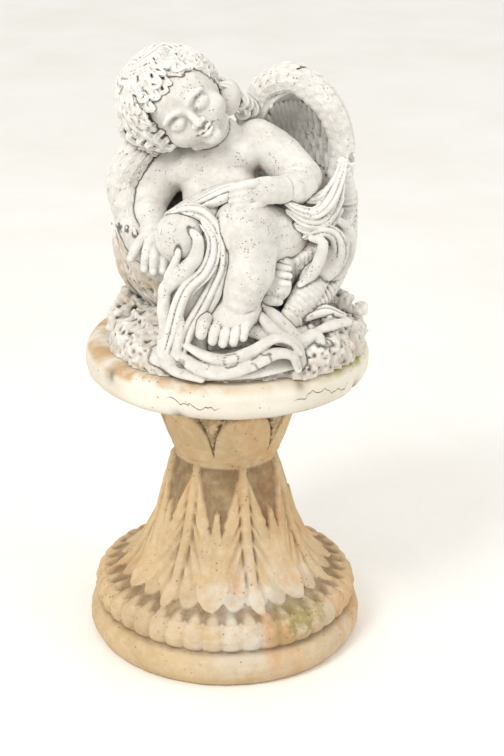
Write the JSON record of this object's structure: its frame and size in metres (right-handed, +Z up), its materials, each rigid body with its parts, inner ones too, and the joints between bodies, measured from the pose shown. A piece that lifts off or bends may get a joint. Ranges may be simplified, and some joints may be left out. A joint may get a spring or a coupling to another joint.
{
  "type": "garden statue of a sleeping putto on a pedestal",
  "caption": "Sleeping winged child in a ribbed cradle on a rock, on a round slab over a turned pedestal with carved leaves.",
  "frame": {"origin": "on the floor under the middle of the pedestal", "axes": "+Z up along the pedestal's axis; the figure faces -Y; +X is the figure's left"},
  "size_m": [0.382, 0.382, 0.8158],
  "materials": {
    "pedestal_stone": "matte",
    "slab_stone": "matte",
    "statue_stone": "matte"
  },
  "bodies": {
    "root": {"pedestal": "pedestal_stone", "top_slab": "slab_stone", "putto_statue": "statue_stone"}
  },
  "joints": []
}
